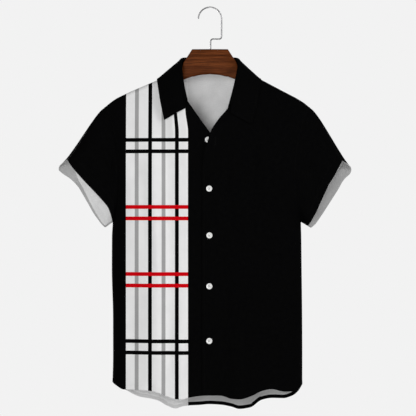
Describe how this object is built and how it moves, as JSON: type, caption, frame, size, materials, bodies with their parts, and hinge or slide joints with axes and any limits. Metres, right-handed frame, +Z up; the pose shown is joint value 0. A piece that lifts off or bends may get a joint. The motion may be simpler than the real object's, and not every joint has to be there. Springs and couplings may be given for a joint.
{
  "type": "short-sleeved button shirt on a wooden hanger",
  "caption": "Short-sleeved button-front shirt with a turned-down collar and a printed light stripe, hung on a flat wooden hanger with a wire hook.",
  "frame": {"origin": "inner top of the hook, where a rail holds the hanger", "axes": "+Z up, -Y out of the shirt's front, -X to the wearer's right"},
  "size_m": [0.6171, 0.1326, 0.8462],
  "materials": {
    "printed_cloth": "woven cloth, black outside with a white stripe, pale grey inside",
    "black_cloth": "woven cloth, black outside, pale grey inside",
    "white_plastic": "polished resin",
    "brown_wood": "dark brown stain, satin varnish",
    "steel_wire": "bright drawn wire"
  },
  "bodies": {
    "root": {"right_front": "printed_cloth", "left_front": "black_cloth", "back": "black_cloth", "right_sleeve": "black_cloth", "left_sleeve": "black_cloth", "collar": "black_cloth", "button_1": "white_plastic", "button_2": "white_plastic", "button_3": "white_plastic", "button_4": "white_plastic", "button_5": "white_plastic", "hanger_body": "brown_wood", "hanger_hook": "steel_wire"}
  },
  "joints": []
}
